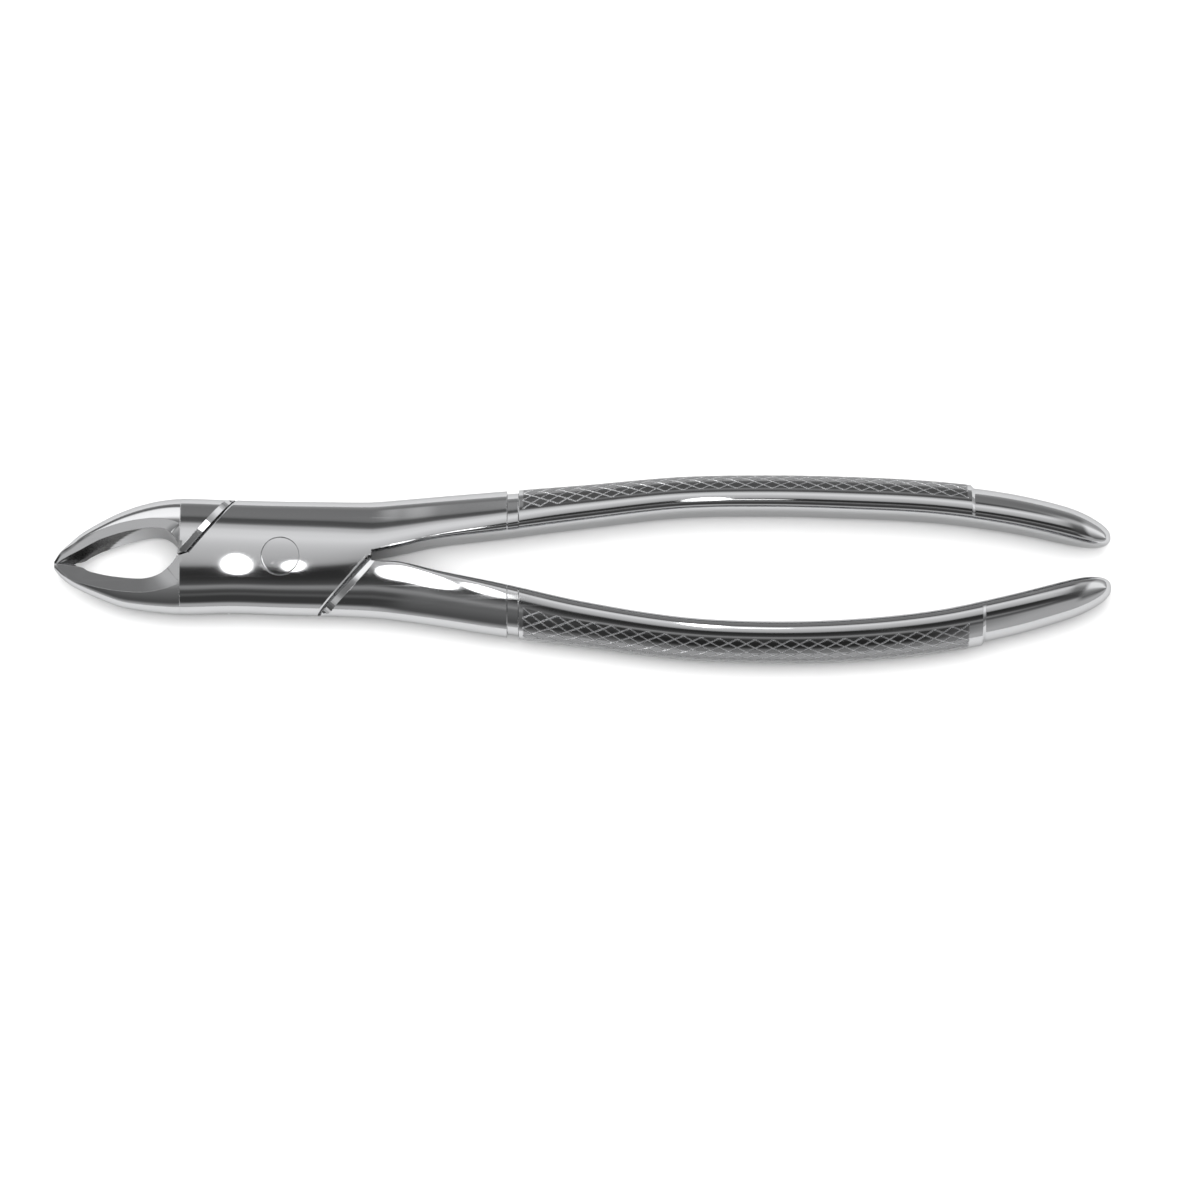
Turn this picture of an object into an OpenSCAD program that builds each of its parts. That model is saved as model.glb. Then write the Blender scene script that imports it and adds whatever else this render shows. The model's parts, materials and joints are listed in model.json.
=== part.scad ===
// Dental extraction forceps: two forged levers that cross in a lap joint and turn on one flush rivet.
// X runs from the beak tips (-) to the handle ends (+), Y across the tool, Z along the rivet.
// The tool lies on its flat underside, z = 0, and the rivet's axis is the Z axis.
// The modules work about the middle of the joint, and each sub-part is lifted by half the joint's thickness.

/* [Joint] */
// Thickness of the tool between its two flat faces
joint_t = 10; // [9:0.5:11]
// Gap between the two lap faces
lap_gap = 0.1; // [0.06:0.02:0.2]
// Width of the slanted seams between a lap and the other lever's shoulders
seam_gap = 0.36; // [0.3:0.02:0.5]
// Angle between the beak seam and the long axis
beak_seam_angle = 50; // [46:1:54]
// Distance from the rivet's axis to the beak seam
beak_seam_r = 12.45; // [12:0.05:13]
// Angle between the handle seam and the long axis
handle_seam_angle = 48; // [44:1:52]
// Distance from the rivet's axis to the handle seam
handle_seam_r = 11.05; // [10.6:0.05:11.6]
// Clearance between a lap's outer corner and the handle shoulder that swings past it
lap_corner_clearance = 0.1; // [0.06:0.02:0.2]
// Width of the bevel along each shoulder
shoulder_bevel = 0.8; // [0.2:0.1:0.9]

/* [Rivet] */
// Diameter of the rivet's shank
rivet_d = 5; // [4:0.1:5.4]
// Diameter of the flush end that shows on each face
rivet_end_d = 6.3; // [5.8:0.1:7]
// Depth of the flush ends' straight edge
rivet_end_t = 0.8; // [0.4:0.1:1.2]
// Radial running clearance in the lever that turns on the rivet
rivet_clearance = 0.04; // [0.02:0.01:0.08]

/* [Beaks] */
// Width of the facets round the opening, as a share of their full width
facet_share = 1; // [0.7:0.05:1]
// Depth of the facets' inner edge below the ridge
rim_drop = 0.3; // [0.1:0.1:0.5]
// How much further the opening's walls are hollowed at mid height
hollow = 0.15; // [0:0.05:0.3]
// Half of the gap left between the closed beak tips
tip_gap = 0.05; // [0.03:0.01:0.1]

/* [Handles] */
// Depth of the neck between the shank and the grip, and of the step behind the grip
grip_step = 0.55; // [0.2:0.1:0.7]
// Length of the neck in front of the grip
neck_l = 2; // [1:0.5:3]
// Sharpness of the corners along the inner side of a handle, where 2 is an ellipse
inner_corner = 4.5; // [3:0.5:6]
// Sharpness of the domed outer side, where 2 is an ellipse
outer_dome = 2.2; // [2:0.1:2.6]

/* [Hidden] */

steel = [0.76, 0.77, 0.79];
mid_z = joint_t / 2;
side_points = 8;                 // points on each quarter of a section
tip_x = -37.6;
crease_x = -16.6;                // where the beaks leave the joint block
crotch_x = 15;                   // where the handles part
grip_start_x = 39.4;
grip_end_x = 115.4;
round_start_x = 130;             // the handle ends round off from here
end_x = 137.5;
tip_y = -0.6;                    // the closed tips meet a little off the axis
seam_reach = 8;                  // the seams are drawn this far past the tool's edge
far = 160;                       // further than any part of the tool from the axis
beak_inner = 9.43;               // from the foot of the beak seam to its inner end
handle_inner = 9.75;             // from the foot of the handle seam to its inner end
crown = 0.25;                    // the forgings' crown above the flat faces, ground off flat
crotch_crest = 0.95;             // each lever's crest moves this far to its handle's side by the crotch
neck_lowering = 0.4;             // share of a neck's depth that also comes off its half height
part_x = -30;                    // the closed beaks meet along tip_y in front of this
part_y = 0.5;                    // where the parting line meets the crease
crotch_offset = 0.2;             // how far past the axis a lap's edge runs between the handles
crotch_run = 0.4;                // from the crotch to the seam's inner corner
end_bluntness = 2.5;             // sharpness of the handle ends' rounding, where 2 is a circle
outline_steps = 3;               // points drawn from one point of the opening's outlines to the next
past_ridge = 0.6;                // the facets are cut this far past the ridge
narrowest = 0.2;                 // least width of a facet
full_facet = 1.8;                // narrower facets than this drop less
ridge_end_x = crease_x - 0.1;    // the facets are cut off just in front of the crease
ridge_fade = 1.5;                // and the cut past the ridge runs out over this length
rear_start = -27;                // the ridge's height goes over to that of the beaks' own tops from here
rear_end = -22;
hollow_start = -34;              // the walls' hollow grows from nothing here
hollow_end = -28;
pinch_rows = 4;                  // over this many points from the front the walls narrow to mid height

// Edges of the closed tool seen from above, as [x, y] points that a smooth curve joins.
beak_upper = [[tip_x, -0.1], [-36.6, 1.5], [-35, 3], [-33.3, 4.5], [-30, 6.5], [-26.7, 8.15],
              [-23.3, 9.35], [-20, 10.15], [crease_x, 10.45]];
beak_lower = [[tip_x, -1.5], [-36.6, -2.7], [-35, -4], [-33.3, -4.95], [-30, -6.45], [-26.7, -7.7],
              [-23.3, -8.35], [-20, -8.75], [crease_x, -9]];
// The joint's edges and the handles each have one row past the crotch, so that they meet there smoothly.
block_upper = [[crease_x, 10.45], [-8, 10.15], [0, 9.95], [8, 9.86], [crotch_x, 9.875], [20, 10.25]];
block_lower = [[crease_x, -9], [-8, -8.85], [0, -9.1], [8, -9.3], [crotch_x, -9.6], [20, -10.125]];

// Each handle: [x, distance of its middle from the axis, width across].
upper_handle = [[8, 5.2, 9.32], [crotch_x, 5.4, 8.95], [20, 6.0, 8.5], [26, 6.85, 7.85], [37, 7.93, 7.5],
                [50, 9.25, 6.85], [66, 10.85, 6.4], [80, 11.15, 6.4], [94, 10.85, 6.5], [108, 10.1, 6.5],
                [120, 8.6, 6.65], [round_start_x, 6.4, 6.4], [end_x, 4.0, 5.6]];
lower_handle = [[8, 4.65, 9.3], [crotch_x, 5.1, 9.0], [20, 5.45, 9.35], [26, 6.55, 8.9], [37, 8.5, 8.5],
                [50, 10.8, 7.25], [66, 13.1, 6.7], [80, 13.8, 6.55], [94, 13.5, 6.65], [108, 12.1, 6.8],
                [120, 9.7, 7.1], [round_start_x, 7.0, 6.8], [end_x, 4.7, 5.9]];

// Half of the height, as [x, z].
beak_height = [[tip_x, 1.3], [-36.6, 1.95], [-34, 2.55], [-30, 3.27], [-27, 3.7], [-24, 4.1], [-21, 4.45],
               [-18.5, 4.68], [crease_x, 4.9]];
body_height = [[crease_x, mid_z + crown], [10, mid_z + crown], [26, 4.8], [37, 4.8], [50, 5.05], [66, 5.15],
               [94, 5.15], [110, 5.05], [124, 4.75], [round_start_x, 4.5], [end_x, 3.6]];

// Outline of the opening between the closed beaks at mid height, from its sharp front end and back to it.
opening = [[-34.3, -0.6], [-33.3, 0.0], [-31.6, 0.95], [-30, 1.8], [-28.3, 2.45], [-25, 3.65], [-21.7, 4.42],
           [-19.4, 4.3], [-17.9, 3.4], [-17.15, 2.2], [-16.95, 0.9], [-17.3, -0.3], [-18.4, -1.6], [-20, -2.8],
           [-22.3, -3.42], [-25, -3.35], [-28.3, -2.9], [-31.6, -2.1], [-33.3, -1.25]];
// On the top face, point by point with the outline: the inner edge of the facet round it, then the ridge.
upper_edge = [[-37.2, -0.6], [-35.6, 0.42], [-33.3, 1.55], [-31.3, 2.6], [-29.4, 3.42], [-25.6, 4.48],
              [-21.7, 4.98], [-19.2, 4.72], [-17.7, 3.65], [-17.05, 2.3]];
rim_edge = [for (i = [0:len(opening) - 1]) i < len(upper_edge) ? upper_edge[i] : opening[i]];
rim_ridge = [[-37.35, -0.6], [-36.3, 0.8], [-34.4, 2.1], [-32.3, 3.55], [-30.2, 4.62], [-26.1, 5.93],
             [-21.5, 6.62], [-18.3, 6.25], [-16, 5.1], [-15, 3.2], [-14.9, 0.9], [-15.1, -1.9], [-16.3, -4.1],
             [-18.6, -5.15], [-21.8, -5.76], [-25.2, -5.8], [-28.8, -5.25], [-32, -4.4], [-34.6, -3.15]];
// Half height of the ridge, as [x, z].
rim_height = [[tip_x, 0.8], [-36.4, 1.12], [-35.2, 1.42], [-33, 1.9], [-30, 2.38], [-26.6, 2.85], [-23.2, 3.3],
              [-20, 3.8], [-16, 4.6]];

// Where the crest of a handle lies, as a share of its width from the inner side.
crest_share = [[crotch_x, 0.02], [30, 0.14], [45, 0.28], [66, 0.32], [120, 0.34], [end_x, 0.45]];

step_run = 0.08;                 // length of the short slopes at the crease, the neck and the steps
beak_xs = [tip_x, -37.3, -36.9, -36.3, -35.5, -34.5, for (x = [-33.3:1.67:-18]) x,
           crease_x - step_run];
// Evenly spaced sections along the tool, n steps from a to b.
function stations(a, b, n) = [for (i = [0:n]) a + (b - a) * i / n];
block_xs = stations(crease_x + step_run, crotch_x - step_run, 8);
shank_xs = stations(crotch_x, grip_start_x - neck_l, 7);
grip_xs = stations(grip_start_x, grip_end_x, 22);
tail_xs = stations(grip_end_x + 1.5 * step_run, round_start_x, 6);
round_steps = 9;
last_angle = 86;                 // the handle ends stop just short of a point
round_xs = [for (i = [1:round_steps])
                round_start_x + (end_x - round_start_x) * sin(last_angle * i / round_steps)];

// Which row interval of a table holds x.
function row_at(table, x) =
    min(len(table) - 2, max([0, for (i = [0:len(table) - 2]) if (x >= table[i][0]) i]));
// Slope of the smooth curve at a row, and the curve's value at x, for one column of a table.
function slope_at(table, i, column) =
    let (a = max(i - 1, 0), b = min(i + 1, len(table) - 1))
    (table[b][column] - table[a][column]) / (table[b][0] - table[a][0]);
function curve(table, x, column = 1) =
    let (i = row_at(table, x), p = table[i], q = table[i + 1], w = q[0] - p[0], t = (x - p[0]) / w)
    (2 * t ^ 3 - 3 * t ^ 2 + 1) * p[column] + (t ^ 3 - 2 * t ^ 2 + t) * w * slope_at(table, i, column)
    + (3 * t ^ 2 - 2 * t ^ 3) * q[column] + (t ^ 3 - t ^ 2) * w * slope_at(table, i + 1, column);
// A closed curve through points, sharp at the first, with n steps between neighbours.
function closed_curve(points, n) =
    [for (i = [0:len(points) - 1], k = [0:n - 1])
        let (t = k / n, last = len(points) - 1,
             a = points[i], b = points[i == last ? 0 : i + 1],
             before = i == 0 ? a : points[i - 1],
             after = i == last ? b : i + 2 > last ? points[0] : points[i + 2],
             ma = (b - before) / 2, mb = (after - a) / 2)
        (2 * t ^ 3 - 3 * t ^ 2 + 1) * a + (t ^ 3 - 2 * t ^ 2 + t) * ma
        + (3 * t ^ 2 - 2 * t ^ 3) * b + (t ^ 3 - t ^ 2) * mb];

// A section is [x, left edge, crest, right edge, half height, left sharpness, right sharpness].
function block_section(x, side) =
    let (upper = x < crease_x ? curve(beak_upper, x) : curve(block_upper, x),
         lower = x < crease_x ? curve(beak_lower, x) : curve(block_lower, x),
         half_h = x < crease_x ? curve(beak_height, x) : curve(body_height, x),
         to_crotch = max(0, x - crease_x) / (crotch_x - crease_x),
         crest = (upper + lower) / 2 * (1 - to_crotch) + side * crotch_crest * to_crotch ^ 2)
    [x, lower, crest, upper, half_h, outer_dome, outer_dome];
// How far the outer side of the handle is set in at x: the neck and the tail behind the grip.
function set_in(x) =
    x > grip_start_x - neck_l + step_run && x < grip_start_x - step_run ? grip_step
    : x > grip_end_x + step_run ? grip_step : 0;
function handle_section(x, side, table) =
    let (q = max(0, (x - round_start_x) / (end_x - round_start_x)),
         roundness = (1 - q ^ end_bluntness) ^ (1 / end_bluntness),
         middle = curve(table, x, 1), width = curve(table, x, 2), inset = set_in(x),
         inner = middle - width / 2 * roundness, outer = middle + (width / 2 - inset) * roundness,
         crest = inner + (outer - inner) * curve(crest_share, x),
         half_h = (curve(body_height, x) - inset * neck_lowering) * roundness)
    side > 0 ? [x, inner, crest, outer, half_h, inner_corner, outer_dome]
             : [x, -outer, -crest, -inner, half_h, outer_dome, inner_corner];
function section_points(s) =
    [for (i = [0:4 * side_points - 1])
        let (a = 90 * i / side_points, c = cos(a), sn = sin(a), m = c >= 0 ? s[6] : s[5],
             y = c >= 0 ? s[2] + (s[3] - s[2]) * abs(c) ^ (2 / m) : s[2] - (s[2] - s[1]) * abs(c) ^ (2 / m))
        [s[0], y, sign(sn) * s[4] * abs(sn) ^ (2 / m)]];

// A closed solid through rings of equally many points.
module loft(rings) {
    n = len(rings[0]);
    last = len(rings) - 1;
    polyhedron(
        points = [for (ring = rings) each ring],
        faces = [
            [for (i = [0:n - 1]) i],
            [for (i = [n - 1:-1:0]) last * n + i],
            for (r = [0:last - 1], i = [0:n - 1])
                let (a = r * n + i, b = r * n + (i + 1) % n)
                each [[a, a + n, b], [b, a + n, b + n]]
        ],
        convexity = 10);
}

// The outer form of one lever: both beaks and the whole joint block, then its own handle.
module lever_envelope(side, table) {
    handle_xs = concat(
        shank_xs,
        [grip_start_x - neck_l + 2 * step_run, grip_start_x - 2 * step_run],
        grip_xs, tail_xs, round_xs);
    sections = concat(
        [for (x = beak_xs) block_section(x, side)],
        [for (x = block_xs) block_section(x, side)],
        [for (x = handle_xs) handle_section(x, side, table)]);
    loft([for (s = sections) section_points(s)]);
}

// Height of a beak's top over a point, from the middle of the joint.
function top_z(p) =
    let (s = block_section(min(crease_x, max(p[0], tip_x)), 0),
         c = p[1] > s[2] ? (p[1] - s[2]) / (s[3] - s[2]) : (s[2] - p[1]) / (s[2] - s[1]))
    s[4] * (1 - min(c, 0.98) ^ outer_dome) ^ (1 / outer_dome);
// A value that goes evenly from 0 at a to 1 at b.
function fade(a, b, x) = min(1, max(0, (x - a) / (b - a)));

// An outline of the top face as it lies on the bottom one, where the two beaks change places.
function other_face(table) =
    [for (i = [0:len(table) - 1])
        let (k = i == 0 ? 0 : len(table) - i, change = table[k] - opening[k])
        opening[i] + [change[0], i == 0 ? change[1] : -change[1]]];
// The facet on one face, face = 1 on top and -1 below: each of its points is [inner edge, past the ridge].
function facet(face) =
    let (inner = closed_curve(face > 0 ? rim_edge : other_face(rim_edge), outline_steps),
         full = closed_curve(face > 0 ? rim_ridge : other_face(rim_ridge), outline_steps))
    [for (i = [0:len(inner) - 1])
        let (p = inner[i], q = p + (full[i] - p) * facet_share,
             cut = q[0] > ridge_end_x ? (q[0] - ridge_end_x) / (q[0] - p[0]) : 0,
             ridge = q + (p - q) * cut, width = max(norm(q - p), narrowest),
             rear = fade(rear_start, rear_end, q[0]),
             clear = fade(ridge_end_x, ridge_end_x - ridge_fade, ridge[0]) * past_ridge,
             rim_z = curve(rim_height, min(q[0], crease_x)),
             top = rim_z * (1 - rear) + top_z(q) * rear,
             slope = (curve(rim_height, p[0]) - rim_z) * (1 - rear),
             drop = rim_drop * min(1, width / full_facet),
             edge_z = top + slope - drop, ridge_z = top + (edge_z - top) * cut,
             past = ridge + (q - p) / width * clear)
        [[p[0], p[1], face * edge_z], [past[0], past[1], face * (ridge_z + drop * clear / width)]]];

// The space between the beaks: hollowed walls, which lean with the beaks, and a facet on each face.
module beak_opening() {
    top = facet(1);
    bottom = facet(-1);
    lower_edge = other_face(rim_edge);
    points = [for (i = [0:len(opening) - 1])
        let (pinch = 1 - fade(1, 1 + pinch_rows, min(i, len(opening) - i)))
        opening[i] * pinch + (rim_edge[i] + lower_edge[i]) / 2 * (1 - pinch)];
    level = closed_curve(points, outline_steps);
    n = len(level);
    middle = [for (i = [0:n - 1])
        let (d = level[(i + 1) % n] - level[(i + n - 1) % n],
             p = level[i] + [-d[1], d[0]] / norm(d) * hollow * fade(hollow_start, hollow_end, level[i][0]))
        [p[0], p[1], 0]];
    over = mid_z + 3;
    loft([[for (q = top) [q[1][0], q[1][1], over]], [for (q = top) q[1]], [for (q = top) q[0]], middle,
          [for (q = bottom) q[0]], [for (q = bottom) q[1]], [for (q = bottom) [q[1][0], q[1][1], -over]]]);
}

// A point on a seam: its distance from the axis, and the way along from the foot of that distance.
function seam_point(angle, r, along) =
    [r * sin(angle) + along * cos(angle), along * sin(angle) - r * cos(angle)];
function beak_seam(gap, along) = seam_point(beak_seam_angle, gap - beak_seam_r, along);
function handle_seam(gap, along) = seam_point(handle_seam_angle, handle_seam_r - gap, along);
// The inner edge of a beak's shoulder and of a handle's shoulder, seen from above.
function beak_edge(gap, tip) =
    [beak_seam(gap, seam_reach + beak_inner), beak_seam(gap, -beak_inner),
     [crease_x, part_y - gap], [part_x, tip], [-far, tip]];
function handle_edge(gap) =
    [[far, gap - crotch_offset], [crotch_x + crotch_run, gap - crotch_offset], handle_seam(gap, handle_inner),
     handle_seam(gap, -seam_reach - handle_inner)];

// The full-height parts of the back lever, seen from above: its upper beak and its lower handle.
module shoulders(gap, tip) {
    polygon(concat(beak_edge(gap, tip), [[-far, far], [beak_seam(gap, seam_reach + beak_inner)[0], far]]));
    polygon(concat(handle_edge(gap), [[handle_seam(gap, -seam_reach - handle_inner)[0], -far], [far, -far]]));
}

// Everything else seen from above, which only its lap reaches into.
module between_shoulders(tip) {
    polygon(concat(
        [[beak_seam(0, seam_reach + beak_inner)[0], far]], beak_edge(0, tip), [[-far, -far]],
        [[handle_seam(0, -seam_reach - handle_inner)[0], -far]],
        [for (i = [3:-1:0]) handle_edge(0)[i]], [[far, far]]));
}

// The bevels along the two shoulders' edges on the face where the seams show.
module shoulder_bevels() {
    side = shoulder_bevel * sqrt(2);
    for (seam = [[beak_seam_angle, beak_seam(0, 0)], [handle_seam_angle, handle_seam(0, 0)]])
        translate([seam[1][0], seam[1][1], mid_z])
            rotate([0, 0, seam[0]])
                rotate([45, 0, 0])
                    cube([2 * (seam_reach + beak_inner), side, side], center = true);
}

// The corner that a lap loses where the other lever's handle shoulder swings past it, seen from above.
module lap_corner() {
    along = -seam_reach - handle_inner;
    difference() {
        polygon([handle_seam(0, 0), handle_seam(0, along), handle_seam(seam_reach, along),
                 handle_seam(seam_reach, 0)]);
        circle(r = handle_seam_r - lap_corner_clearance, $fn = 96);
    }
}

// The rivet, or with clearance the bore that it turns in.
module rivet_form(clearance, past) {
    neck_z = mid_z - rivet_end_t - (rivet_end_d - rivet_d) / 2;
    end_z = mid_z - rivet_end_t;
    r = rivet_d / 2 + clearance;
    end_r = rivet_end_d / 2 + clearance;
    rotate_extrude($fn = 96)
        polygon([[0, -mid_z - past], [end_r, -mid_z - past], [end_r, -end_z + clearance],
                 [r, -neck_z + clearance], [r, neck_z - clearance], [end_r, end_z - clearance],
                 [end_r, mid_z + past], [0, mid_z + past]]);
}

// One lever as the back lever is drawn, lap below; the front lever passes flip = 1.
module lever(flip, side, table, tip, clearance) {
    difference() {
        intersection() {
            lever_envelope(side, table);
            translate([-far, -far, -mid_z]) cube([2 * far, 2 * far, joint_t]);
        }
        beak_opening();
        rivet_form(clearance, 1);
        mirror([0, flip, 0]) mirror([0, 0, flip]) {
            translate([0, 0, -lap_gap / 2]) linear_extrude(joint_t) between_shoulders(tip + tip_gap);
            shoulder_bevels();
        }
        mirror([0, 1 - flip, 0])
            translate([0, 0, -joint_t]) linear_extrude(2 * joint_t) {
                shoulders(seam_gap, tip_gap - tip);
                lap_corner();
            }
    }
}

module front_lever() {
    color(steel) translate([0, 0, mid_z]) lever(1, 1, upper_handle, -tip_y, 0);
}

module back_lever() {
    color(steel) translate([0, 0, mid_z]) lever(0, -1, lower_handle, tip_y, rivet_clearance);
}

module pivot_rivet() {
    color(steel) translate([0, 0, mid_z]) rivet_form(0, 0);
}

front_lever();
back_lever();
pivot_rivet();
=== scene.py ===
"""Dental extraction forceps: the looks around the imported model. Millimetres in the builders."""
import json
import math

import bmesh
import bpy
import numpy as np
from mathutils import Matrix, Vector
from mathutils.bvhtree import BVHTree


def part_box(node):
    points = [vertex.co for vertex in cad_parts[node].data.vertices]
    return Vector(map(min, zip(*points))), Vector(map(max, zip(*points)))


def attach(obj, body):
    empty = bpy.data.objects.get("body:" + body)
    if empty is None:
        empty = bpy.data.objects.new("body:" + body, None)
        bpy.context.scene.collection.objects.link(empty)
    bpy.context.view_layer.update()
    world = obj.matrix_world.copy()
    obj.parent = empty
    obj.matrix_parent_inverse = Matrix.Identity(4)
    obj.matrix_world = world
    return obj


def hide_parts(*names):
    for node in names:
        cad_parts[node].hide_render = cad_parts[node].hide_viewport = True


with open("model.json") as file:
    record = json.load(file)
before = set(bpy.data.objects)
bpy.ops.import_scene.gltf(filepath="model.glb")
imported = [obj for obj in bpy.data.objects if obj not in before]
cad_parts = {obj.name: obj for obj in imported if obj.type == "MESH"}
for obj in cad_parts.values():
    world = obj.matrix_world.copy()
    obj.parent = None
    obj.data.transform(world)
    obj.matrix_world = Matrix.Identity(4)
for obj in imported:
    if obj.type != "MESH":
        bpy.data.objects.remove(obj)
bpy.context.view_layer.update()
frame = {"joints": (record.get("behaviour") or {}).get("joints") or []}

MM = 0.001

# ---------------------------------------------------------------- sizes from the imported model
pivot = frame["joints"][0]["pos_m"]
mid_z = pivot[2] / MM
half_t = mid_z
tip_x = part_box("front_lever")[0].x / MM
end_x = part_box("front_lever")[1].x / MM
rivet_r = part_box("pivot_rivet")[1].x / MM

# ---------------------------------------------------------------- sizes of the looks
# side is 1 for the front lever, whose handle is at +Y, and -1 for the back lever.
# Heights are from the joint's middle.
crease_x = -16.6
crotch_x = 15.0
grip_start_x = 39.4
neck_l = 2.0
round_start_x = 130.0
tip_y = -0.6
tip_gap = 0.05
lap_gap = 0.1

# Edges of the closed tool seen from above, [x, y], and each handle, [x, middle, width].
UPPER_EDGE = [[tip_x, -0.1], [-36.6, 1.5], [-35, 3], [-33.3, 4.5], [-30, 6.5], [-26.7, 8.15], [-23.3, 9.35],
              [-20, 10.1], [crease_x, 10.42], [-8, 10.15], [0, 9.95], [8, 9.86], [crotch_x, 9.875],
              [20, 10.25]]
LOWER_EDGE = [[tip_x, -1.5], [-36.6, -2.7], [-35, -4], [-33.3, -4.95], [-30, -6.45], [-26.7, -7.7],
              [-23.3, -8.35], [-20, -8.75], [crease_x, -9], [-8, -8.85], [0, -9.1], [8, -9.3],
              [crotch_x, -9.6], [20, -10.125]]
UPPER_HANDLE = [[8, 5.2, 9.32], [crotch_x, 5.4, 8.95], [20, 6.0, 8.5], [26, 6.85, 7.85], [37, 7.93, 7.5],
                [50, 9.25, 6.85], [66, 10.85, 6.4], [80, 11.15, 6.4], [94, 10.85, 6.5], [108, 10.1, 6.5],
                [120, 8.6, 6.65], [round_start_x, 6.4, 6.4], [end_x, 4.0, 5.6]]
LOWER_HANDLE = [[8, 4.65, 9.3], [crotch_x, 5.1, 9.0], [20, 5.45, 9.35], [26, 6.55, 8.9], [37, 8.5, 8.5],
                [50, 10.8, 7.25], [66, 13.1, 6.7], [80, 13.8, 6.55], [94, 13.5, 6.65], [108, 12.1, 6.8],
                [120, 9.7, 7.1], [round_start_x, 7.0, 6.8], [end_x, 4.7, 5.9]]
# Half heights, and the crest's place across a handle, from its inner side to its outer side.
BEAK_HEIGHT = [[tip_x, 1.3], [-36.6, 1.95], [-34, 2.55], [-30, 3.27], [-27, 3.7], [-24, 4.1], [-21, 4.45],
               [-18.5, 4.68], [crease_x, 4.9]]
BODY_HEIGHT = [[crease_x, 4.9], [-8, 4.97], [0, 5.0], [8, 4.97], [crotch_x, 4.9], [26, 4.84], [37, 4.86],
               [50, 4.95], [66, 4.99], [80, 5.0], [94, 4.99], [110, 4.95], [124, 4.75],
               [round_start_x, 4.5], [end_x, 3.6]]
CREST_SHARE = [[crotch_x, 0.02], [30, 0.14], [45, 0.28], [66, 0.32], [120, 0.34], [end_x, 0.45]]

# The opening between the beaks at mid height. Then, on the top face and matched to it point by point, the
# inner edge of the facet round it, and the ridge outside that facet.
OPENING = [[-34.3, -0.6], [-33.3, 0.0], [-31.6, 0.95], [-30, 1.8], [-28.3, 2.45], [-25, 3.65],
           [-21.7, 4.42], [-19.4, 4.3], [-17.9, 3.4], [-17.15, 2.2], [-16.95, 0.9], [-17.3, -0.3],
           [-18.4, -1.6], [-20, -2.8], [-22.3, -3.42], [-25, -3.35], [-28.3, -2.9], [-31.6, -2.1],
           [-33.3, -1.25]]
RIM_EDGE = [[-37.2, -0.6], [-35.6, 0.42], [-33.3, 1.55], [-31.3, 2.6], [-29.4, 3.42], [-25.6, 4.48],
            [-21.7, 4.98], [-19.2, 4.72], [-17.7, 3.65], [-17.05, 2.3]] + OPENING[10:]
RIM_RIDGE = [[-37.35, -0.6], [-36.3, 0.8], [-34.4, 2.1], [-32.3, 3.55], [-30.2, 4.62], [-26.1, 5.93],
             [-21.5, 6.62], [-18.3, 6.25], [-16, 5.1], [-15, 3.2], [-14.9, 0.9], [-15.1, -1.9],
             [-16.3, -4.1], [-18.6, -5.15], [-21.8, -5.76], [-25.2, -5.8], [-28.8, -5.25], [-32, -4.4],
             [-34.6, -3.15]]
RIM_END_X = -16
RIM_HEIGHT = [[tip_x, 0.8], [-36.4, 1.12], [-35.2, 1.42], [-33, 1.9], [-30, 2.38], [-26.6, 2.85],
              [-23.2, 3.3], [-20, 3.8], [RIM_END_X, 4.6]]
RIDGE_END_X = crease_x - 0.1    # the facets are cut off just in front of the crease
FULL_FACET = 1.8                # narrower facets drop less
RIM_DROP = 0.3                  # depth of the facet's inner edge below the ridge
REAR_X, REAR_FADE = -27, 5      # from here back the ridge rises on to the head's own surface
PAST_RIDGE = 0.6                # how far the cutter runs out past the ridge, clear of the surface
RIDGE_FADE = 1.5                # length over which that ends, before RIDGE_END_X
CLEAR_HEIGHT = 5
FACET_STEPS = (0.0, 0.25, 0.5, 0.75)
NARROWEST = 0.2                 # keeps the facet's slope finite where it runs out
HAIR = 0.01
OUTLINE_STEPS = 14
HOLLOW = 0.15                   # how much further the walls are hollowed at mid height
HOLLOW_START_X, HOLLOW_FADE = -34, 6
WALL_LEVELS = (1.0, 0.8, 0.6, 0.4, 0.2, 0.0, -0.2, -0.4, -0.6, -0.8, -1.0)
# By point: 1 if the wall passes through OPENING at mid height, 0 if it runs straight between the facets.
PINCH = [1, 1, 0.75, 0.5, 0.25] + [0] * 10 + [0.25, 0.5, 0.75, 1]

# Seams between a lap and the other lever's shoulders: angle, distance from the axis, inner end.
BEAK_SEAM = (50.0, -12.45, 9.43)
HANDLE_SEAM = (48.0, 11.05, 9.75)
SEAM_GAP = 0.36
SEAM_REACH = 8.0
FAR = 200.0
CREASE_SPLIT_Y = 0.5            # where the line between the levers passes the crease, and the crotch
CROTCH_SPLIT_Y = -0.2
CROTCH_SPLIT_X = crotch_x + 0.4
BITE_X = -30                    # in front of this the line between the beaks runs straight
CHAMFER_STEPS = 40
CHAMFER_OUT = 3.4               # how far a chamfer runs past the seam's nearest point to the axis
CHAMFER_OVERSHOOT = 0.35
CHAMFER_CLEAR = 4.0
SHOULDER_CHAMFER = (1.0, 0.62, 0.6)     # width, depth and how far it runs past the seam's inner end
LAP_CHAMFER = (0.22, 0.2, -0.1)

RIVET_CLEARANCE = 0.03
RIVET_EDGE = 0.07
RIVET_RINGS = 28
RIVET_SHARP = math.radians(50)
ROUND_STEPS = 128

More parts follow.
